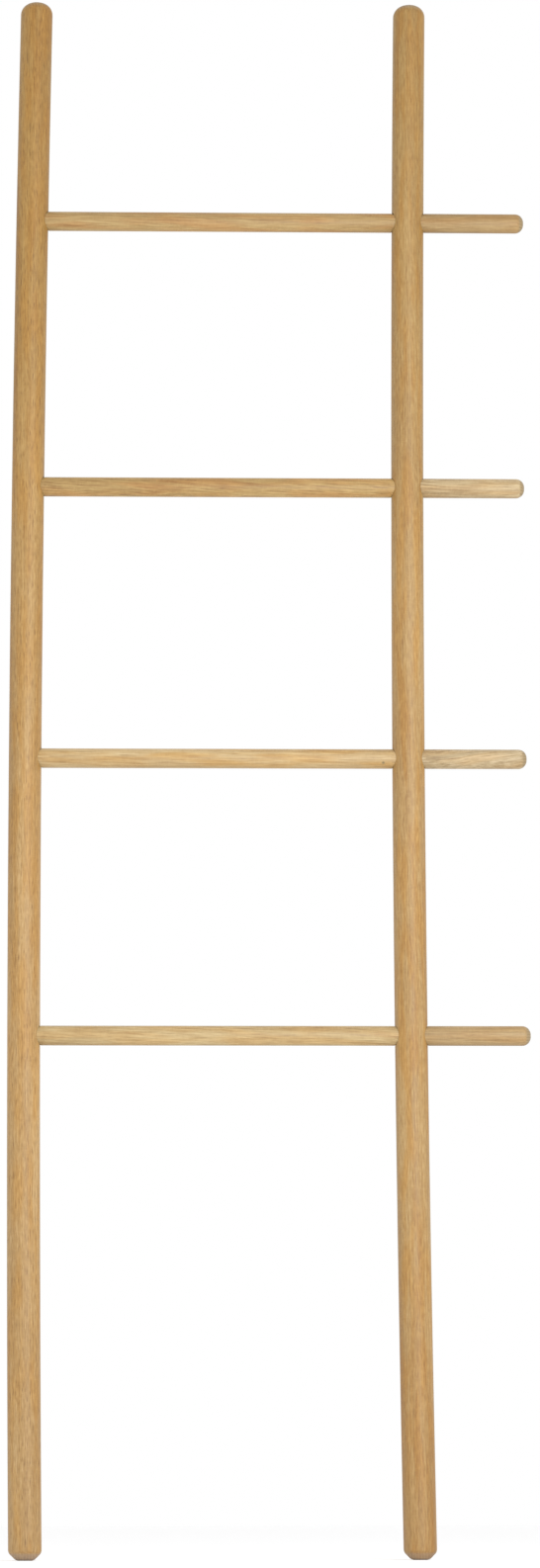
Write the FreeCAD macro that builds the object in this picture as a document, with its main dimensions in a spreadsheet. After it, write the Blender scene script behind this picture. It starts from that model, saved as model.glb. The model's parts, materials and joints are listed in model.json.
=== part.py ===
import FreeCAD, Part
import Sketcher
import os

doc = FreeCAD.newDocument("decorative_ladder")

# Driving sizes in millimetres
sizes = doc.addObject("Spreadsheet::Sheet", "Sizes")
driving_sizes = (
    ("stile_length", "1700", "height of each stile, foot to head"),
    ("stile_dia", "35", "diameter of a stile"),
    ("stile_spacing", "413", "between the stile axes at the feet"),
    ("stile_bow", "6.5", "how far both stiles bow to the left at half height"),
    ("head_round", "13", "rounding of a stile's head"),
    ("foot_chamfer", "8", "chamfer round a stile's foot"),
    ("top_gap", "250", "head of the stiles to the top rung's axis"),
    ("rung_pitch", "300", "between the axes of neighbouring rungs"),
    ("rung_dia", "21", "diameter of a rung"),
    ("peg_dia", "21", "diameter of a peg"),
    ("peg_reach", "110", "a peg's length outside the right stile"),
    ("peg_round", "9", "rounding of a peg's outer end"),
    ("socket_depth", "6", "depth of a socket below the stile's outermost line"),
    ("socket_clearance", "0.1", "between a tenon and its socket's wall, on the radius"),
    ("tenon_relief", "0.2", "how much a tenon is turned down, on the radius"),
    ("shoulder_gap", "0.5", "a tenon's length left outside its socket"),
    ("thread_dia", "6", "diameter of the studs and hanger bolts"),
    ("thread_clearance", "0.05", "between a thread and its mating hole, on the radius"),
    ("thread_grip", "12", "length of thread held by an insert"),
    ("thread_chamfer", "0.8", "chamfer on a threaded end"),
    ("bore_clearance", "0.25", "between a stud and the right stile's bore, on the radius"),
    ("insert_dia", "10", "outer diameter of a threaded insert"),
    ("insert_length", "14", "length of a threaded insert"),
    ("insert_chamfer", "0.5", "chamfer at an insert's mouth"),
    ("screw_length", "20", "length of a hanger bolt's wood screw end"),
    ("screw_tip", "5", "length of a hanger bolt's point"),
    ("pilot_extra", "0.5", "room past the point in a hanger bolt's hole"),
)
for row, (alias, number, note) in enumerate(driving_sizes, start=1):
    sizes.set(f"A{row}", note)
    sizes.set(f"B{row}", number)
    sizes.setAlias(f"B{row}", alias)
doc.recompute()

# Rungs and pegs are named from the head down
levels = ("top", "upper", "lower", "bottom")

# Sizes that follow from the driving ones
stile_radius = "Sizes.stile_dia / 2"
socket_floor = f"({stile_radius} - Sizes.socket_depth)"
tenon_length = "(Sizes.socket_depth + Sizes.shoulder_gap)"
rung_length = f"(Sizes.stile_spacing - 2 * {socket_floor})"
peg_length = "(Sizes.socket_depth + Sizes.peg_reach)"
stud_length = f"(2 * {socket_floor} + 2 * Sizes.thread_grip)"
thread_radius = "Sizes.thread_dia / 2"
thread_core = f"({thread_radius} - Sizes.thread_chamfer)"
insert_radius = "Sizes.insert_dia / 2"
insert_bore = f"({thread_radius} + Sizes.thread_clearance)"
insert_hole = f"({insert_radius} + Sizes.thread_clearance)"


def rung_height(level):
    return f"(Sizes.stile_length - Sizes.top_gap - {levels.index(level)} * Sizes.rung_pitch)"


# The stiles bow as a parabola, so this is how far left their axes stand at a rung
def bow_at(level):
    height = rung_height(level)
    return f"(4 * Sizes.stile_bow * {height} * (Sizes.stile_length - {height}) / Sizes.stile_length ^ 2)"


# The origin is on the floor under the middle of the whole width, from the bowed left stile to the pegs
least_bow = f"min({bow_at('top')}; {bow_at('bottom')})"
left_axis = f"((Sizes.stile_bow + {least_bow} - Sizes.peg_reach - Sizes.stile_spacing) / 2)"
right_axis = f"({left_axis} + Sizes.stile_spacing)"


def value(expression):
    return float(sizes.evalExpression(expression))


def origin_plane(body, role):
    for feature in body.Origin.OriginFeatures:
        if feature.Role == role:
            return feature
    raise RuntimeError(f"{body.Label} has no {role}")


def new_body(label):
    body = doc.addObject("PartDesign::Body", label)
    body.Label = label
    return body


def place(body, along, height):
    body.setExpression(".Placement.Base.x", along)
    body.setExpression(".Placement.Base.z", height)


def add_sketch(body, name, role, shift):
    sketch = body.newObject("Sketcher::SketchObject", name)
    sketch.AttachmentSupport = [(origin_plane(body, role), "")]
    sketch.MapMode = "FlatFace"
    sketch.setExpression(".AttachmentOffset.Base.z", shift)
    return sketch


def pin_corner(sketch, corner, along, across):
    for kind, axis, expression in (("DistanceX", -2, along), ("DistanceY", -1, across)):
        if expression == "0":
            sketch.addConstraint(Sketcher.Constraint("PointOnObject", *corner, axis))
            continue
        rule = Sketcher.Constraint(kind, -1, 1, *corner, value(expression))
        index = sketch.addConstraint(rule)
        sketch.setExpression(f"Constraints[{index}]", expression)


def add_circle(sketch, along, across, radius):
    centre = FreeCAD.Vector(value(along), value(across), 0)
    circle = sketch.addGeometry(Part.Circle(centre, FreeCAD.Vector(0, 0, 1), value(radius)))
    pin_corner(sketch, (circle, 3), along, across)
    index = sketch.addConstraint(Sketcher.Constraint("Radius", circle, value(radius)))
    sketch.setExpression(f"Constraints[{index}]", radius)


# A turned piece is a half outline of (along, radius) corners, spun about the body's own X axis
def add_turning(body, outline):
    sketch = add_sketch(body, f"{body.Label}_outline", "XY_Plane", "0")
    corners = [FreeCAD.Vector(value(along), value(radius), 0) for along, radius in outline]
    following = corners[1:] + corners[:1]
    for corner, next_corner in zip(corners, following):
        sketch.addGeometry(Part.LineSegment(corner, next_corner))
    for index, (along, radius) in enumerate(outline):
        next_line = (index + 1) % len(outline)
        sketch.addConstraint(Sketcher.Constraint("Coincident", index, 2, next_line, 1))
        pin_corner(sketch, (index, 1), along, radius)
    turning = body.newObject("PartDesign::Revolution", f"{body.Label}_turning")
    turning.Profile = sketch
    turning.ReferenceAxis = (sketch, ["H_Axis"])
    turning.Angle = 360
    doc.recompute()
    return turning


# The name of the round edge that lies flat at one place along an axis, the widest if there are several
def ring_edge(shape, axis, position):
    found = []
    for number, edge in enumerate(shape.Edges, start=1):
        low = getattr(edge.BoundBox, f"{axis}Min")
        high = getattr(edge.BoundBox, f"{axis}Max")
        if abs(low - position) < 1e-3 and abs(high - position) < 1e-3:
            found.append((edge.Length, f"Edge{number}"))
    return max(found)[1]


def cut_from(body, name, level, shift, radius, kind, outwards):
    before = body.Shape.Volume
    sketch = add_sketch(body, f"{name}_outline", "YZ_Plane", shift)
    add_circle(sketch, "0", rung_height(level), radius)
    cut = body.newObject("PartDesign::Pocket", name)
    cut.Profile = sketch
    cut.Type = kind
    cut.Reversed = outwards
    doc.recompute()
    if body.Shape.Volume >= before:
        raise RuntimeError(f"{name} cuts nothing")
    return cut


# A stile is lofted through a circle at its foot, at half height and at its head, and its ends are softened
def new_stile(label):
    rings = []
    heights = ("0", "Sizes.stile_length / 2", "Sizes.stile_length")
    offsets = ("0", "-Sizes.stile_bow", "0")
    for name, height, offset in zip(("foot", "middle", "head"), heights, offsets):
        ring = doc.addObject("Part::Circle", f"{label}_{name}")
        ring.setExpression("Radius", stile_radius)
        place(ring, offset, height)
        rings.append(ring)
    blank = doc.addObject("Part::Loft", f"{label}_blank")
    blank.Sections = rings
    blank.Solid = True
    doc.recompute()
    body = new_body(label)
    body.BaseFeature = blank
    doc.recompute()
    base = body.Tip
    head = body.newObject("PartDesign::Fillet", f"{label}_head_round")
    head.Base = (base, [ring_edge(base.Shape, "Z", value("Sizes.stile_length"))])
    head.setExpression("Radius", "Sizes.head_round")
    doc.recompute()
    foot = body.newObject("PartDesign::Chamfer", f"{label}_foot_chamfer")
    foot.Base = (head, [ring_edge(head.Shape, "Z", 0)])
    foot.setExpression("Size", "Sizes.foot_chamfer")
    doc.recompute()
    return body


def add_socket(body, level, side, tenon_dia):
    facing_right = side == "right"
    floor = socket_floor if facing_right else f"-{socket_floor}"
    radius = f"({tenon_dia} / 2 - Sizes.tenon_relief + Sizes.socket_clearance)"
    name = f"{body.Label}_{side}_socket_{level}"
    cut_from(body, name, level, f"{floor} - {bow_at(level)}", radius, "ThroughAll", facing_right)


def make_stile_left():
    body = new_stile("stile_left")
    for level in levels:
        add_socket(body, level, "right", "Sizes.rung_dia")
        floor = f"{socket_floor} - {bow_at(level)}"
        pilot = cut_from(body, f"pilot_{level}", level, floor, insert_bore, "Length", False)
        pilot.setExpression("Length", "Sizes.screw_length + Sizes.pilot_extra")
    place(body, left_axis, "0")
    return body


def make_stile_right():
    body = new_stile("stile_right")
    bore_radius = f"({thread_radius} + Sizes.bore_clearance)"
    for level in levels:
        add_socket(body, level, "left", "Sizes.rung_dia")
        add_socket(body, level, "right", "Sizes.peg_dia")
        bore = cut_from(body, f"bore_{level}", level, f"-{bow_at(level)}", bore_radius, "ThroughAll", False)
        bore.Midplane = True
    place(body, right_axis, "0")
    return body


# A rung has a tenon and an insert's hole at each end
def make_rung(level):
    body = new_body(f"rung_{level}")
    radius = "Sizes.rung_dia / 2"
    tenon = f"({radius} - Sizes.tenon_relief)"
    add_turning(body, (
        ("Sizes.insert_length", "0"),
        ("Sizes.insert_length", insert_hole),
        ("0", insert_hole),
        ("0", tenon),
        (tenon_length, tenon),
        (tenon_length, radius),
        (f"{rung_length} - {tenon_length}", radius),
        (f"{rung_length} - {tenon_length}", tenon),
        (rung_length, tenon),
        (rung_length, insert_hole),
        (f"{rung_length} - Sizes.insert_length", insert_hole),
        (f"{rung_length} - Sizes.insert_length", "0"),
    ))
    place(body, f"{left_axis} - {bow_at(level)} + {socket_floor}", rung_height(level))
    return body


# A peg has a tenon and an insert's hole at its inner end, and a rounded outer end
def make_peg(level):
    body = new_body(f"peg_{level}")
    radius = "Sizes.peg_dia / 2"
    tenon = f"({radius} - Sizes.tenon_relief)"
    turning = add_turning(body, (
        ("Sizes.insert_length", "0"),
        ("Sizes.insert_length", insert_hole),
        ("0", insert_hole),
        ("0", tenon),
        (tenon_length, tenon),
        (tenon_length, radius),
        (peg_length, radius),
        (peg_length, "0"),
    ))
    end = body.newObject("PartDesign::Fillet", f"peg_end_{level}")
    end.Base = (turning, [ring_edge(turning.Shape, "X", value(peg_length))])
    end.setExpression("Radius", "Sizes.peg_round")
    place(body, f"{right_axis} - {bow_at(level)} + {socket_floor}", rung_height(level))
    return body


# A stud passes through the right stile and screws into a rung and a peg
def make_stud(level):
    body = new_body(f"connecting_stud_{level}")
    add_turning(body, (
        ("0", "0"),
        ("0", thread_core),
        ("Sizes.thread_chamfer", thread_radius),
        (f"{stud_length} - Sizes.thread_chamfer", thread_radius),
        (stud_length, thread_core),
        (stud_length, "0"),
    ))
    start = f"{right_axis} - {bow_at(level)} - {socket_floor} - Sizes.thread_grip"
    place(body, start, rung_height(level))
    return body


# A hanger bolt has a pointed wood screw in the left stile and a machine thread in a rung
def make_hanger_bolt(level):
    body = new_body(f"hanger_bolt_{level}")
    add_turning(body, (
        ("-Sizes.screw_length", "0"),
        ("Sizes.screw_tip - Sizes.screw_length", thread_radius),
        ("Sizes.thread_grip - Sizes.thread_chamfer", thread_radius),
        ("Sizes.thread_grip", thread_core),
        ("Sizes.thread_grip", "0"),
    ))
    place(body, f"{left_axis} - {bow_at(level)} + {socket_floor}", rung_height(level))
    return body


# An insert is a threaded sleeve, drawn from its mouth inwards
def make_insert(label, level, start):
    body = new_body(f"{label}_{level}")
    mouth = f"({insert_bore} + Sizes.insert_chamfer)"
    add_turning(body, (
        ("0", mouth),
        ("0", insert_radius),
        ("Sizes.insert_length", insert_radius),
        ("Sizes.insert_length", mouth),
        ("Sizes.insert_length - Sizes.insert_chamfer", insert_bore),
        ("Sizes.insert_chamfer", insert_bore),
    ))
    place(body, f"{start} - {bow_at(level)}", rung_height(level))
    return body


pieces = [make_stile_left(), make_stile_right()]
for level in levels:
    pieces.append(make_rung(level))
    pieces.append(make_peg(level))
    pieces.append(make_stud(level))
    pieces.append(make_hanger_bolt(level))
    rung_start = f"{left_axis} + {socket_floor}"
    pieces.append(make_insert("rung_left_insert", level, rung_start))
    pieces.append(make_insert("rung_right_insert", level, f"{rung_start} + {rung_length} - Sizes.insert_length"))
    pieces.append(make_insert("peg_insert", level, f"{right_axis} + {socket_floor}"))
doc.recompute()

for thing in doc.Objects:
    if "Invalid" in thing.State or "Error" in thing.State:
        raise RuntimeError(f"{thing.Label} failed: {thing.State}")
for piece in pieces:
    if piece.Shape.isNull() or not piece.Shape.isValid():
        raise RuntimeError(f"{piece.Label} has no valid shape")

os.makedirs("parts", exist_ok=True)
for piece in pieces:
    piece.Shape.exportStep(f"parts/{piece.Label}.step")
    print(f"{piece.Label}: {piece.Shape.Volume:.1f} mm3, {len(piece.Shape.Solids)} solid")
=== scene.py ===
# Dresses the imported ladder: turned oak stiles, rungs and pegs over their hidden fixings
import bmesh
import bpy
import json
from math import pi, radians, sqrt
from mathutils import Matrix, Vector


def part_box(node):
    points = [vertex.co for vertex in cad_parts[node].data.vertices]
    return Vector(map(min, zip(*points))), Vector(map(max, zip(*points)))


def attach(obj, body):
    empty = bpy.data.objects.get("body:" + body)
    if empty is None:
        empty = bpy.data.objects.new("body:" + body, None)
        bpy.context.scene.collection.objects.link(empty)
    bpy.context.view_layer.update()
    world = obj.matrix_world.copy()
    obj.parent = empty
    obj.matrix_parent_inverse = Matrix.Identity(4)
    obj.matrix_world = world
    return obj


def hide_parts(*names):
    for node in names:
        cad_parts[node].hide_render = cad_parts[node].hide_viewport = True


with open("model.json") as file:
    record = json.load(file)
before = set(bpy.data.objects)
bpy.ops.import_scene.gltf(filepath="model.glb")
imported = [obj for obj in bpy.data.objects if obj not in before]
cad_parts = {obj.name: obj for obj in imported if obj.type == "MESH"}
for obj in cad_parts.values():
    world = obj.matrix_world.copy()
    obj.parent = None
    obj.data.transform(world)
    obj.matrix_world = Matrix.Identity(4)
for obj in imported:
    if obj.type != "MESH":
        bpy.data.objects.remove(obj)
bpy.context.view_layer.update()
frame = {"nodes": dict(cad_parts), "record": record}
mm = 0.001  # the scene is in metres
mounts = {mount["name"]: Vector(mount["pos_m"]) for mount in frame["record"]["mounts"]}
levels = ("top", "upper", "lower", "bottom")
print("frame loaded:", len(frame["nodes"]), "nodes")

# The photograph was taken level at a ladder that leans back, so the upright one is seen from low down
photoCamera = {
    "rightOfMiddle": -65.7,  # mm from midway between the feet
    "away": 4544.2,          # mm in front of the stiles
    "height": 40.0,          # mm above the floor
    "pitchUp": 9.766,        # degrees
    "yawRight": 1.448,
    "roll": 0.101,
    "focalPixels": 4332.5,   # fitted to the picture's lines
    "pictureHeight": 1586,   # pixels, the picture's long side
    "sensor": 36.0,          # mm, along the long side
}

camera = bpy.data.cameras.new("photoCamera")
camera.sensor_width = photoCamera["sensor"]
camera.lens = photoCamera["sensor"] * photoCamera["focalPixels"] / photoCamera["pictureHeight"]
cameraObject = bpy.data.objects.new("photoCamera", camera)
middle = (mounts["foot_left"] + mounts["foot_right"]) / 2
cameraObject.location = (
    middle.x + photoCamera["rightOfMiddle"] * mm,
    middle.y - photoCamera["away"] * mm,
    photoCamera["height"] * mm,
)
cameraObject.rotation_euler = (
    radians(90 + photoCamera["pitchUp"]),
    radians(photoCamera["roll"]),
    radians(-photoCamera["yawRight"]),
)
bpy.context.scene.collection.objects.link(cameraObject)
bpy.context.scene.camera = cameraObject
print("camera placed")


# An sRGB hex colour in the linear light that shaders use
def linear(hexColour):
    parts = [int(hexColour[i:i + 2], 16) / 255 for i in (1, 3, 5)]
    return tuple(c / 12.92 if c <= 0.04045 else ((c + 0.055) / 1.055) ** 2.4 for c in parts) + (1.0,)


# Adds a node: settings are its own properties, inputs are numbers, colours or other nodes' outputs
def addNode(tree, kind, settings=None, inputs=None):
    node = tree.nodes.new(kind)
    for key, value in (settings or {}).items():
        setattr(node, key, value)
    for key, value in (inputs or {}).items():
        if isinstance(value, bpy.types.NodeSocket):
            tree.links.new(value, node.inputs[key])
        else:
            node.inputs[key].default_value = value
    return node


def newMaterial(name):
    material = bpy.data.materials.new(name)
    material.use_nodes = True
    material.node_tree.nodes.clear()
    return material, material.node_tree


def setRamp(node, stops):
    ramp = node.color_ramp
    while len(ramp.elements) < len(stops):
        ramp.elements.new(1.0)
    for element, (position, colour) in zip(ramp.elements, stops):
        element.position = position
        element.color = colour


# Mix node sockets for colours
mixFactor, mixA, mixB, mixResult = 0, 6, 7, 2
# A wave texture repeats every 2 pi / 20 of its own units
waveLength = 2 * pi / 20
# Octaves of finer detail in a noise, and the span that most of its values lie in
smooth, mild, crisp = 0.0, 1.0, 2.0
noiseLow, noiseHigh = 0.3, 0.7

# Oak as this ladder shows it, sizes in millimetres
oakFigure = {
    "ringSpacing": 3.0,      # one year's growth
    "ringWander": 5.0,       # how far the rings stray, in the wave's own units
    "ringDetail": 0.35,      # how fine that straying is
    "ringStretch": 0.05,     # the rings change this slowly along the grain
    "streak": (2.2, 120.0),  # long bands of paler and darker fibre, width and length
    "blush": (9.0, 75.0),    # slow drift from yellow to red
    "pore": (0.9, 9.0),      # real pores are 0.3 wide; drawn wider so that they show
    "ray": (4.5, 1.6),       # pale flecks where the rays are cut
    "mottle": (6.0, 3.4),    # shimmer where rays lie just under the surface
    "cloud": (18.0, 340.0),  # slow drift of tone
    "fineShare": 0.55,       # strength of each finer octave in these patterns
    "ringShare": 0.06,       # what each pattern adds to the tone
    "streakShare": 0.24,
    "flameShare": 0.62,
    "mottleShare": 0.08,
    "cloudShare": 0.38,
    "darkAt": 0.25,          # the tones that get the dark, middle and pale colours
    "midAt": 0.5,
    "paleAt": 0.75,
    "poreFrom": 0.60,        # only the peaks of the noise are open pores
    "poreTo": 0.74,
    "springEnd": 0.1,        # where a ring's spring growth ends and its summer growth begins
    "summerStart": 0.7,
    "summerPores": 0.35,     # share of the pores that summer growth has
    "rayFrom": 0.62,         # only the peaks of the noise are rays
    "rayTo": 0.8,
    "rayShare": 0.12,
    "blushFrom": 0.42,
    "blushTo": 0.62,
    "relief": 0.12,          # depth of the open grain
    "reliefShare": 0.35,
    "oilIor": 1.47,          # refraction of the oil
}


# Oiled oak, turned and sanded: open pores and year rings show as fine streaks along the grain,
# the end grain drinks more oil and looks darker and greyer, and the oil leaves a low satin sheen
def oiledOak(name, wood):
    material, tree = newMaterial(name)
    figure = oakFigure

    def stretched(source, size):
        across, along = size
        scale = (1 / (across * mm), 1 / (across * mm), 1 / (along * mm))
        return addNode(tree, "ShaderNodeMapping", inputs={"Vector": source, "Scale": scale}).outputs[0]

    def fibre(source, size, detail):
        noise = addNode(tree, "ShaderNodeTexNoise", inputs={
            "Vector": stretched(source, size), "Scale": 1.0, "Detail": detail,
            "Roughness": figure["fineShare"]})
        return noise.outputs[0]

    place = addNode(tree, "ShaderNodeTexCoord").outputs["Object"]
    # the grain runs along the pattern's Z, and the pith stands beside the piece
    log = addNode(tree, "ShaderNodeMapping", inputs={
        "Vector": place,
        "Rotation": [radians(a) for a in wood["turn"]],
        "Location": [a * mm for a in wood["pith"]],
    }).outputs[0]
    # no tree grows quite straight
    bend, sideways = wood["waver"]
    drift = addNode(tree, "ShaderNodeTexNoise", inputs={
        "Vector": log, "Scale": 1 / (bend * mm), "Detail": mild}).outputs[1]
    log = addNode(tree, "ShaderNodeVectorMath", {"operation": "MULTIPLY_ADD"}, {
        0: drift, 1: (sideways * mm, sideways * mm, 0), 2: log}).outputs[0]
    slow = addNode(tree, "ShaderNodeMapping", inputs={
        "Vector": log, "Scale": (1, 1, figure["ringStretch"])}).outputs[0]
    rings = addNode(tree, "ShaderNodeTexWave", {
        "wave_type": "RINGS", "rings_direction": "Z", "wave_profile": "SAW"}, {
        "Vector": slow, "Scale": waveLength / (figure["ringSpacing"] * mm),
        "Distortion": figure["ringWander"], "Detail": crisp,
        "Detail Scale": figure["ringDetail"]}).outputs[1]
    streak = fibre(log, figure["streak"], crisp)
    flame = fibre(log, wood["stroke"], crisp)
    mottle = fibre(log, figure["mottle"], mild)
    cloud = fibre(log, figure["cloud"], mild)
    pores = fibre(log, figure["pore"], smooth)
    rays = fibre(log, figure["ray"], smooth)

    # the layers add up to one tone from dark to pale
    layers = {"ringShare": rings, "streakShare": streak, "flameShare": flame,
              "mottleShare": mottle, "cloudShare": cloud}
    tone = figure["midAt"] - wood["contrast"] * sum(figure[key] for key in layers) / 2
    for key, layer in layers.items():
        tone = addNode(tree, "ShaderNodeMath", {"operation": "MULTIPLY_ADD"}, {
            0: layer, 1: wood["contrast"] * figure[key], 2: tone}).outputs[0]
    colours = addNode(tree, "ShaderNodeValToRGB", inputs={0: tone})
    setRamp(colours, [(figure[f"{shade}At"], linear(wood[shade])) for shade in ("dark", "mid", "pale")])

    # pores crowd into the spring growth, at the low end of each ring
    openGrain = addNode(tree, "ShaderNodeMapRange", inputs={
        "Value": pores, "From Min": figure["poreFrom"], "From Max": figure["poreTo"],
        "To Max": wood["poreDepth"]}).outputs[0]
    spring = addNode(tree, "ShaderNodeMapRange", inputs={
        "Value": rings, "From Min": figure["springEnd"], "From Max": figure["summerStart"],
        "To Min": 1.0, "To Max": figure["summerPores"]}).outputs[0]
    poreMask = addNode(tree, "ShaderNodeMath", {"operation": "MULTIPLY"}, {
        0: openGrain, 1: spring}).outputs[0]
    withPores = addNode(tree, "ShaderNodeMix", {"data_type": "RGBA"}, {
        mixFactor: poreMask, mixA: colours.outputs[0], mixB: linear(wood["pore"])}).outputs[mixResult]
    rayMask = addNode(tree, "ShaderNodeMapRange", inputs={
        "Value": rays, "From Min": figure["rayFrom"], "From Max": figure["rayTo"],
        "To Max": figure["rayShare"]}).outputs[0]
    withRays = addNode(tree, "ShaderNodeMix", {"data_type": "RGBA"}, {
        mixFactor: rayMask, mixA: withPores, mixB: linear(wood["pale"])}).outputs[mixResult]

    # some bands of the wood are redder
    blush = addNode(tree, "ShaderNodeMapRange", inputs={
        "Value": fibre(log, figure["blush"], mild),
        "From Min": figure["blushFrom"], "From Max": figure["blushTo"]}).outputs[0]
    surface = addNode(tree, "ShaderNodeMix", {"data_type": "RGBA", "blend_type": "MULTIPLY"}, {
        mixFactor: blush, mixA: withRays, mixB: linear(wood["blush"])}).outputs[mixResult]

    if "knot" in wood:
        apart = addNode(tree, "ShaderNodeVectorMath", {"operation": "DISTANCE"}, {
            0: place, 1: wood["knot"]}).outputs["Value"]
        core, rim = wood["knotSize"]
        spot = addNode(tree, "ShaderNodeMapRange", {"interpolation_type": "SMOOTHSTEP"}, {
            "Value": apart, "From Min": rim * mm, "From Max": core * mm,
            "To Max": wood["knotShare"]}).outputs[0]
        surface = addNode(tree, "ShaderNodeMix", {"data_type": "RGBA"}, {
            mixFactor: spot, mixA: surface, mixB: linear(wood["knotColour"])}).outputs[mixResult]

    # cut ends face along the grain
    normal = addNode(tree, "ShaderNodeNewGeometry").outputs["Normal"]
    facing = addNode(tree, "ShaderNodeVectorMath", {"operation": "DOT_PRODUCT"}, {
        0: normal, 1: wood["along"]}).outputs["Value"]
    facing = addNode(tree, "ShaderNodeMath", {"operation": "ABSOLUTE"}, {0: facing}).outputs[0]
    endMask = addNode(tree, "ShaderNodeMapRange", {"interpolation_type": "SMOOTHSTEP"}, {
        "Value": facing, "From Min": wood["endFrom"], "From Max": wood["endTo"],
        "To Max": wood["endShare"]}).outputs[0]
    endDark, endPale = wood["endGrain"]
    endColour = addNode(tree, "ShaderNodeMix", {"data_type": "RGBA"}, {
        mixFactor: rings, mixA: linear(endDark), mixB: linear(endPale)}).outputs[mixResult]
    surface = addNode(tree, "ShaderNodeMix", {"data_type": "RGBA"}, {
        mixFactor: endMask, mixA: surface, mixB: endColour}).outputs[mixResult]

    # a stile's colour drifts along its height, partly as real colour and partly as painted shade: darker and
    # more amber towards the head, and a little darker near the foot, where the light falls off
    for heightTone, start, end in wood.get("tintAndPaintedShade", ()):
        height = addNode(tree, "ShaderNodeSeparateXYZ", inputs={0: place}).outputs[2]
        share = addNode(tree, "ShaderNodeMapRange", {"interpolation_type": "SMOOTHSTEP"}, {
            "Value": height, "From Min": start * mm, "From Max": end * mm}).outputs[0]
        surface = addNode(tree, "ShaderNodeMix", {"data_type": "RGBA", "blend_type": "MULTIPLY"}, {
            mixFactor: share, mixA: surface, mixB: linear(heightTone)}).outputs[mixResult]

    sleek, dull = wood["satin"]
    rough = addNode(tree, "ShaderNodeMapRange", inputs={
        "Value": flame, "From Min": noiseLow, "From Max": noiseHigh,
        "To Min": sleek, "To Max": dull}).outputs[0]
    relief = addNode(tree, "ShaderNodeMath", {"operation": "MULTIPLY_ADD"}, {
        0: poreMask, 1: -1.0, 2: streak}).outputs[0]
    bump = addNode(tree, "ShaderNodeBump", inputs={
        "Strength": figure["reliefShare"], "Distance": figure["relief"] * mm, "Height": relief}).outputs[0]
    oak = addNode(tree, "ShaderNodeBsdfPrincipled", inputs={
        "Base Color": surface, "Roughness": rough, "IOR": figure["oilIor"], "Normal": bump})
    addNode(tree, "ShaderNodeOutputMaterial", inputs={"Surface": oak.outputs[0]})
    return material


# Lathe work, in mm: corners this close are one, and a ring is found within this much
weldWithin = 0.001
ringWithin = 0.01
roundProfile = 0.5  # a bevel that follows a circle


# Spins a half outline of (along, radius) pairs in mm round the X or Z axis, as a lathe does
def turned(outline, axis, steps):
    mesh = bmesh.new()
    along = Vector((1, 0, 0)) if axis == "X" else Vector((0, 0, 1))
    out = Vector((0, 1, 0))
    corners = [mesh.verts.new((along * a + out * r) * mm) for a, r in outline]
    edges = [mesh.edges.new(pair) for pair in zip(corners, corners[1:])]
    bmesh.ops.spin(mesh, geom=corners + edges, cent=(0, 0, 0), axis=along, angle=2 * pi,
                   steps=steps, use_merge=True)
    bmesh.ops.remove_doubles(mesh, verts=mesh.verts, dist=weldWithin * mm)
    bmesh.ops.recalc_face_normals(mesh, faces=mesh.faces)
    return mesh


# The ring of edges that a lathe leaves at one place and radius, in mm
def ring(mesh, axis, position, radius):
    index = "XYZ".index(axis)

    def onRing(vert):
        away = vert.co.copy()
        away[index] = 0
        there = abs(vert.co[index] - position * mm) < ringWithin * mm
        return there and abs(away.length - radius * mm) < ringWithin * mm
    return [edge for edge in mesh.edges if all(onRing(vert) for vert in edge.verts)]


def softened(mesh, edges, radius, segments):
    bmesh.ops.bevel(mesh, geom=edges, offset=radius * mm, offset_type="OFFSET", affect="EDGES",
                    segments=segments, profile=roundProfile, material=-1)


def newPiece(name, mesh, material, node):
    data = bpy.data.meshes.new(name)
    mesh.to_mesh(data)
    mesh.free()
    data.materials.append(material)
    piece = bpy.data.objects.new(name, data)
    bpy.context.scene.collection.objects.link(piece)
    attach(piece, "root")
    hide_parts(node)
    return piece


def shadeSmooth(piece, sharpAbove):
    data = piece.data
    data.polygons.foreach_set("use_smooth", [True] * len(data.polygons))
    data.set_sharp_from_angle(angle=radians(sharpAbove))


# Both rungs and pegs go into the stiles by a tenon, with a threaded insert in its end
dowelMaking = {
    "steps": 72,          # facets round the dowel
    "tenonRelief": 0.2,   # mm off the radius
    "shoulderOut": 0.5,   # mm of tenon left outside the stile's widest line
    "shoulderEase": 0.6,  # mm of slope at the shoulder, where it was sanded
    "jointGap": 0.2,      # mm round the tenon at the socket's floor; really 0.1, drawn wider
    "mouthGap": 0.9,      # mm at the socket's mouth, its edge worn and eased
    "pegRound": 9.0,      # mm, at a peg's outer end
    "pegSegments": 10,    # facets across that round
    "sharpAbove": 34,     # degrees
}


# How far left the bowed stiles stand at a height, in mm
def bowAt(height):
    return 4 * bow * height * (stileLength - height) / stileLength ** 2


stileLow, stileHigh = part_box("stile_left")
stileRadius = (stileHigh.y - stileLow.y) / 2 / mm
stileLength = stileHigh.z / mm
bow = (mounts["foot_left"].x - stileLow.x) / mm - stileRadius
rungStart = (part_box("rung_lower")[0].x - mounts["foot_left"].x) / mm
socketFloor = rungStart + bowAt(mounts["peg_lower"].z / mm)
socketDepth = stileRadius - socketFloor
print(f"stiles {stileLength:.1f} mm long, {2 * stileRadius:.1f} mm thick, bowed {bow:.2f} mm")

stileMaking = {
    "steps": 112,         # facets round the pole
    "rows": 84,           # rows along it, for the bow and the sockets
    "headRound": 13.0,    # mm
    "headSegments": 10,   # facets across the head's round
    "footChamfer": 8.0,   # mm
    "chamferSegments": 1,
    "footSoft": 2.6,      # mm, hand sanded corners of the chamfer
    "softSegments": 4,    # facets across each of those
    "pilotRoom": 0.5,     # mm past a hanger bolt's point
    "boltRoom": 0.05,     # mm round a hanger bolt's thread
    "studRoom": 0.25,     # mm round a stud in its bore
    "sharpAbove": 34,     # degrees
}

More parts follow.
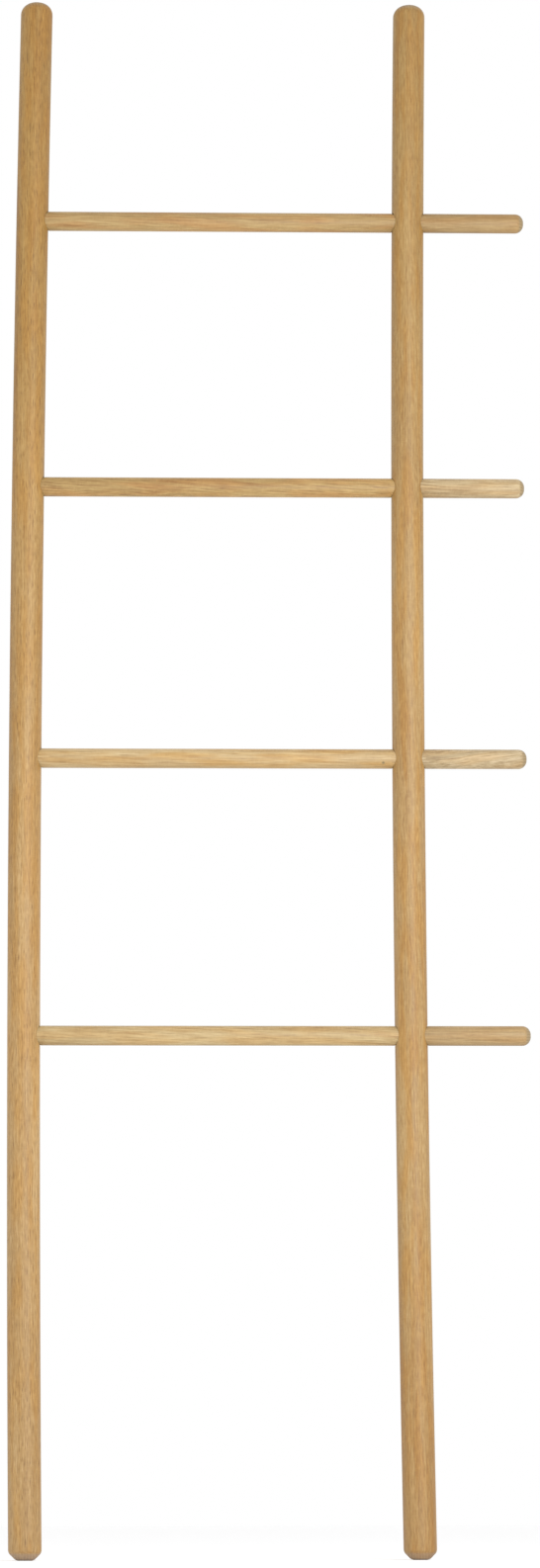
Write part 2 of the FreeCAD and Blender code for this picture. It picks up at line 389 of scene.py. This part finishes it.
stileWood = {
    "along": (0, 0, 1),                  # the way the grain runs
    "waver": (70, 3),                    # mm between its bends, and how far they stray
    "stroke": (1.05, 11),                # mm, width and length of a stroke of fibre
    "contrast": 1.0,
    "satin": (0.46, 0.58),               # roughness where the oil lies thick and thin
    "endGrain": ("#94857b", "#ae9f93"),  # spring and summer growth, cut across
    "endFrom": 0.3,                      # how squarely a face is cut where end grain begins to show
    "endTo": 0.95,                       # and where it shows most
    "endShare": 0.65,
}
# Turns in degrees, the pith's place in mm, and tints with the heights in mm that they come in over; the tints
# are partly a real amber drift and partly painted shade for the light's fall-off along the stile
stileWoods = {
    "left": {
        "pale": "#c0a172", "mid": "#a88654", "dark": "#8a683a", "pore": "#71512d", "blush": "#fff5dc",
        "turn": (1.2, 0.7, 25), "pith": (52, 21, 0), "poreDepth": 0.68,
        "tintAndPaintedShade": [("#e2d8b1", 490, 1515), ("#fafafa", 520, 230)],
    },
    "right": {
        "pale": "#b99c6d", "mid": "#a28251", "dark": "#866338", "pore": "#70502b", "blush": "#fff2d4",
        "turn": (-0.9, 1.1, 140), "pith": (-38, 44, 730), "poreDepth": 0.36,
        "tintAndPaintedShade": [("#e8e3cb", 800, 1700), ("#f5eee2", 350, 60)],
    },
}


# What a drill takes out of a stile at one level, as one turned shape
def drilling(side, level):
    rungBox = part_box(f"rung_{level}")
    rungLow, rungHigh = [corner.x / mm for corner in rungBox]
    radius = (rungBox[1].y - rungBox[0].y) / 2 / mm
    tenon = radius - dowelMaking["tenonRelief"]
    socket = tenon + dowelMaking["jointGap"]
    past = 2 * stileRadius
    flare = (dowelMaking["mouthGap"] - dowelMaking["jointGap"]) / socketDepth
    mouth = socket + flare * past
    if side == "left":
        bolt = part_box(f"hanger_bolt_{level}")
        bore = (bolt[1].y - bolt[0].y) / 2 / mm + stileMaking["boltRoom"]
        bottom = bolt[0].x / mm - stileMaking["pilotRoom"]
        outline = [(bottom, 0), (bottom, bore), (rungLow, bore), (rungLow, socket),
                   (rungLow + past, mouth), (rungLow + past, 0)]
    else:
        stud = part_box(f"connecting_stud_{level}")
        bore = (stud[1].y - stud[0].y) / 2 / mm + stileMaking["studRoom"]
        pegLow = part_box(f"peg_{level}")[0].x / mm
        outline = [(rungHigh - past, 0), (rungHigh - past, mouth), (rungHigh, socket), (rungHigh, bore),
                   (pegLow, bore), (pegLow, socket), (pegLow + past, mouth), (pegLow + past, 0)]
    mesh = turned(outline, "X", dowelMaking["steps"])
    centre = (rungBox[0] + rungBox[1]) / 2
    bmesh.ops.translate(mesh, verts=mesh.verts, vec=(0, centre.y, centre.z))
    return mesh


def makeStile(side):
    pole = [(0, 0), (0, stileRadius), (stileLength, stileRadius), (stileLength, 0)]
    mesh = turned(pole, "Z", stileMaking["steps"])
    head = ring(mesh, "Z", stileLength, stileRadius)
    softened(mesh, head, stileMaking["headRound"], stileMaking["headSegments"])
    chamfer = stileMaking["footChamfer"]
    softened(mesh, ring(mesh, "Z", 0, stileRadius), chamfer, stileMaking["chamferSegments"])
    corners = ring(mesh, "Z", 0, stileRadius - chamfer) + ring(mesh, "Z", chamfer, stileRadius)
    softened(mesh, corners, stileMaking["footSoft"], stileMaking["softSegments"])
    lengthwise = [edge for edge in mesh.edges if edge.calc_length() > stileLength / 2 * mm]
    bmesh.ops.subdivide_edges(mesh, edges=lengthwise, cuts=stileMaking["rows"], use_grid_fill=True)
    for vert in mesh.verts:
        vert.co.x += mounts[f"foot_{side}"].x - bowAt(vert.co.z / mm) * mm
    material = oiledOak(f"oiled oak {side} stile", {**stileWood, **stileWoods[side]})
    piece = newPiece(f"oak_stile_{side}", mesh, material, f"stile_{side}")
    cutters = []
    for level in levels:
        data = bpy.data.meshes.new("drilling")
        hole = drilling(side, level)
        hole.to_mesh(data)
        hole.free()
        cutter = bpy.data.objects.new("drilling", data)
        bpy.context.scene.collection.objects.link(cutter)
        cut = piece.modifiers.new(f"drilling {level}", "BOOLEAN")
        cut.operation = "DIFFERENCE"
        cut.solver = "EXACT"
        cut.object = cutter
        cutters.append(cutter)
    evaluated = piece.evaluated_get(bpy.context.evaluated_depsgraph_get())
    drilled = bpy.data.meshes.new_from_object(evaluated)
    piece.modifiers.clear()
    piece.data = drilled
    for cutter in cutters:
        bpy.data.objects.remove(cutter)
    shadeSmooth(piece, stileMaking["sharpAbove"])
    print(f"stile {side}: {len(piece.data.polygons)} faces")


for side in ("left", "right"):
    makeStile(side)

# What rungs and pegs share, said as for the stiles
dowelWood = {
    "along": (1, 0, 0), "waver": (70, 1.2), "stroke": (1.2, 28), "contrast": 1.0,
    "pore": "#6f5232", "poreDepth": 0.28, "blush": "#fff6e9", "satin": (0.46, 0.58),
    "endGrain": ("#7f6b4c", "#9a8664"), "endFrom": 0.3, "endTo": 0.6, "endShare": 0.9,
}
rungWoods = {
    "top": {
        "pale": "#b89f6e", "mid": "#a08353", "dark": "#82653c", "blush": "#ffefe3",
        "turn": (200, -88.2, 10), "pith": (50, -51, 947),
    },
    "upper": {
        "pale": "#c3a673", "mid": "#a68955", "dark": "#846337", "blush": "#ffefe3",
        "turn": (15, -94.2, 35), "pith": (26, 53, 335), "contrast": 1.06,
    },
    "lower": {
        "pale": "#c5b087", "mid": "#b09569", "dark": "#93764e", "blush": "#fff2d8",
        "turn": (170, -89.4, 0), "pith": (60, 27, 611), "contrast": 1.1,
        "knotAt": (16.2, 5.6),   # mm from the right end and below the middle
        "knotSize": (0.7, 2.2),  # mm, radius of its core and of its rim
        "knotColour": "#6b6044",
        "knotShare": 0.8,
    },
    "bottom": {
        "pale": "#bea87c", "mid": "#a99064", "dark": "#8b6f49",
        "turn": (5, -92.6, 60), "pith": (-19, -59, 155), "contrast": 1.34,
    },
}
pegWoods = {
    "top": {
        "pale": "#b3996c", "mid": "#997d52", "dark": "#7e633a",
        "turn": (25, -89.6, 15), "pith": (-34, 28, 414),
    },
    "upper": {
        "pale": "#c0ad86", "mid": "#a9926d", "dark": "#876f4a",
        "turn": (10, -91.5, 40), "pith": (-59, 27, 309), "contrast": 1.35,
    },
    "lower": {
        "pale": "#baa786", "mid": "#a5916e", "dark": "#88704f",
        "turn": (190, -99.0, 5), "pith": (34, 26, 112), "contrast": 1.7,
        "stroke": (1.1, 34), "waver": (40, 2.2), "poreDepth": 0.4,
    },
    "bottom": {
        "pale": "#b8a175", "mid": "#a0855c", "dark": "#806741",
        "turn": (350, -90.6, 70), "pith": (47, 23, 792), "contrast": 0.85,
    },
}


# Outline of a dowel's inner end, outwards from the floor of the insert's hole: hole, tenon and shoulder
def tenonEnd(radius, insertBox):
    depth = (insertBox[1].x - insertBox[0].x) / mm
    hole = (insertBox[1].y - insertBox[0].y) / 2 / mm
    tenon = radius - dowelMaking["tenonRelief"]
    shoulder = socketDepth + dowelMaking["shoulderOut"]
    eased = shoulder + dowelMaking["shoulderEase"]
    return [(depth, 0), (depth, hole), (0, hole), (0, tenon), (shoulder, tenon), (eased, radius)]


def makeDowel(kind, level, wood, insertName):
    low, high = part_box(f"{kind}_{level}")
    radius = (high.y - low.y) / 2 / mm
    length = (high.x - low.x) / mm
    inner = tenonEnd(radius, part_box(f"{insertName}_{level}"))
    if kind == "rung":
        outline = inner + [(length - a, r) for a, r in reversed(inner)]
    else:
        outline = inner + [(length, radius), (length, 0)]
    mesh = turned(outline, "X", dowelMaking["steps"])
    if kind == "peg":
        end = ring(mesh, "X", length, radius)
        softened(mesh, end, dowelMaking["pegRound"], dowelMaking["pegSegments"])
    centre = (low + high) / 2
    bmesh.ops.translate(mesh, verts=mesh.verts, vec=(low.x, centre.y, centre.z))
    wood = {**dowelWood, **wood}
    if "knotAt" in wood:
        fromEnd, below = wood["knotAt"]
        front = sqrt(radius ** 2 - below ** 2)
        wood["knot"] = Vector((high.x, centre.y, centre.z)) - Vector((fromEnd, front, below)) * mm
    material = oiledOak(f"oiled oak {level} {kind}", wood)
    piece = newPiece(f"oak_{kind}_{level}", mesh, material, f"{kind}_{level}")
    shadeSmooth(piece, dowelMaking["sharpAbove"])


for level in levels:
    makeDowel("rung", level, rungWoods[level], "rung_left_insert")
    makeDowel("peg", level, pegWoods[level], "peg_insert")
print(f"rungs and pegs turned, sockets {socketDepth:.2f} mm deep")

fixings = {
    "steel": "#c3c6c8",          # zinc plated, slightly blue
    "steelDull": "#8f9496",
    "steelRough": (0.28, 0.45),  # roughness of bright and dull patches
    "brass": "#c9a253",
    "brassDull": "#94713a",
    "brassRough": (0.25, 0.4),
    "threadPitch": 1.0,          # mm
    "threadRelief": 0.25,        # mm
    "threadShare": 0.6,
    "patina": 3.0,               # mm across a patch
    "patinaDetail": 3.0,         # octaves
}


# Cut metal thread: grooves every millimetre round the shank catch the light as fine bands,
# and plating or handling leaves soft dull patches
def threadedMetal(name, bright, dull, rough):
    material, tree = newMaterial(name)
    place = addNode(tree, "ShaderNodeTexCoord").outputs["Object"]
    thread = addNode(tree, "ShaderNodeTexWave", {"wave_type": "BANDS", "bands_direction": "X"}, {
        "Vector": place, "Scale": waveLength / (fixings["threadPitch"] * mm)}).outputs[1]
    patch = addNode(tree, "ShaderNodeTexNoise", inputs={
        "Vector": place, "Scale": 1 / (fixings["patina"] * mm), "Detail": fixings["patinaDetail"]}).outputs[0]
    colour = addNode(tree, "ShaderNodeMix", {"data_type": "RGBA"}, {
        mixFactor: patch, mixA: linear(bright), mixB: linear(dull)}).outputs[mixResult]
    brightRough, dullRough = rough
    roughness = addNode(tree, "ShaderNodeMapRange", inputs={
        "Value": patch, "From Min": noiseLow, "From Max": noiseHigh,
        "To Min": brightRough, "To Max": dullRough}).outputs[0]
    bump = addNode(tree, "ShaderNodeBump", inputs={
        "Strength": fixings["threadShare"], "Distance": fixings["threadRelief"] * mm,
        "Height": thread}).outputs[0]
    metal = addNode(tree, "ShaderNodeBsdfPrincipled", inputs={
        "Base Color": colour, "Metallic": 1.0, "Roughness": roughness, "Normal": bump})
    addNode(tree, "ShaderNodeOutputMaterial", inputs={"Surface": metal.outputs[0]})
    return material


zincSteel = threadedMetal(
    "zinc plated steel thread", fixings["steel"], fixings["steelDull"], fixings["steelRough"])
turnedBrass = threadedMetal(
    "turned brass thread", fixings["brass"], fixings["brassDull"], fixings["brassRough"])
for name, node in frame["nodes"].items():
    if name.startswith(("connecting_stud", "hanger_bolt")):
        node.material_slots[0].material = zincSteel
    elif "insert" in name:
        node.material_slots[0].material = turnedBrass
print("hidden fixings finished")

studio = {
    "white": "#ffffff",
    "around": 1.0,                 # brightness of the white surroundings
    "keyPlace": (0.8, -2.3, 1.0),  # metres, in front and to the right
    "keyAim": (0.0, 0.0, 0.9),
    "keySize": (1.0, 1.3),         # metres
    "keyPower": 34.0,              # watts
    "floor": "#fdfdfd",
    "floorRough": 0.9,
    "floorSheen": 0.1,
    "floorAcross": 60.0,           # metres, past where the eye can tell
    "floorBelow": 0.1,             # mm under the feet, so that the faces don't coincide
}

world = bpy.data.worlds.new("white studio")
world.use_nodes = True
background = world.node_tree.nodes["Background"]
background.inputs["Color"].default_value = linear(studio["white"])
background.inputs["Strength"].default_value = studio["around"]
bpy.context.scene.world = world

# Matt white studio paper: plain, with hardly any sheen, so it only takes soft shade near the feet
paper, paperTree = newMaterial("matt white studio paper")
paperSurface = addNode(paperTree, "ShaderNodeBsdfPrincipled", inputs={
    "Base Color": linear(studio["floor"]), "Roughness": studio["floorRough"],
    "Specular IOR Level": studio["floorSheen"]})
addNode(paperTree, "ShaderNodeOutputMaterial", inputs={"Surface": paperSurface.outputs[0]})
sheet = bmesh.new()
bmesh.ops.create_grid(sheet, x_segments=1, y_segments=1, size=studio["floorAcross"] / 2)
bmesh.ops.translate(sheet, verts=sheet.verts, vec=(0, 0, -studio["floorBelow"] * mm))
floorData = bpy.data.meshes.new("studio_floor")
sheet.to_mesh(floorData)
sheet.free()
floorData.materials.append(paper)
floor = bpy.data.objects.new("studio_floor", floorData)
bpy.context.scene.collection.objects.link(floor)

key = bpy.data.lights.new("softbox", "AREA")
key.shape = "RECTANGLE"
key.size, key.size_y = studio["keySize"]
key.energy = studio["keyPower"]
keyObject = bpy.data.objects.new("softbox", key)
keyObject.location = studio["keyPlace"]
aim = Vector(studio["keyAim"]) - keyObject.location
keyObject.rotation_euler = aim.to_track_quat("-Z", "Y").to_euler()
keyObject.visible_camera = False  # it hangs between the camera and the ladder
bpy.context.scene.collection.objects.link(keyObject)

bpy.context.scene.view_settings.view_transform = "Standard"
print("studio lit")
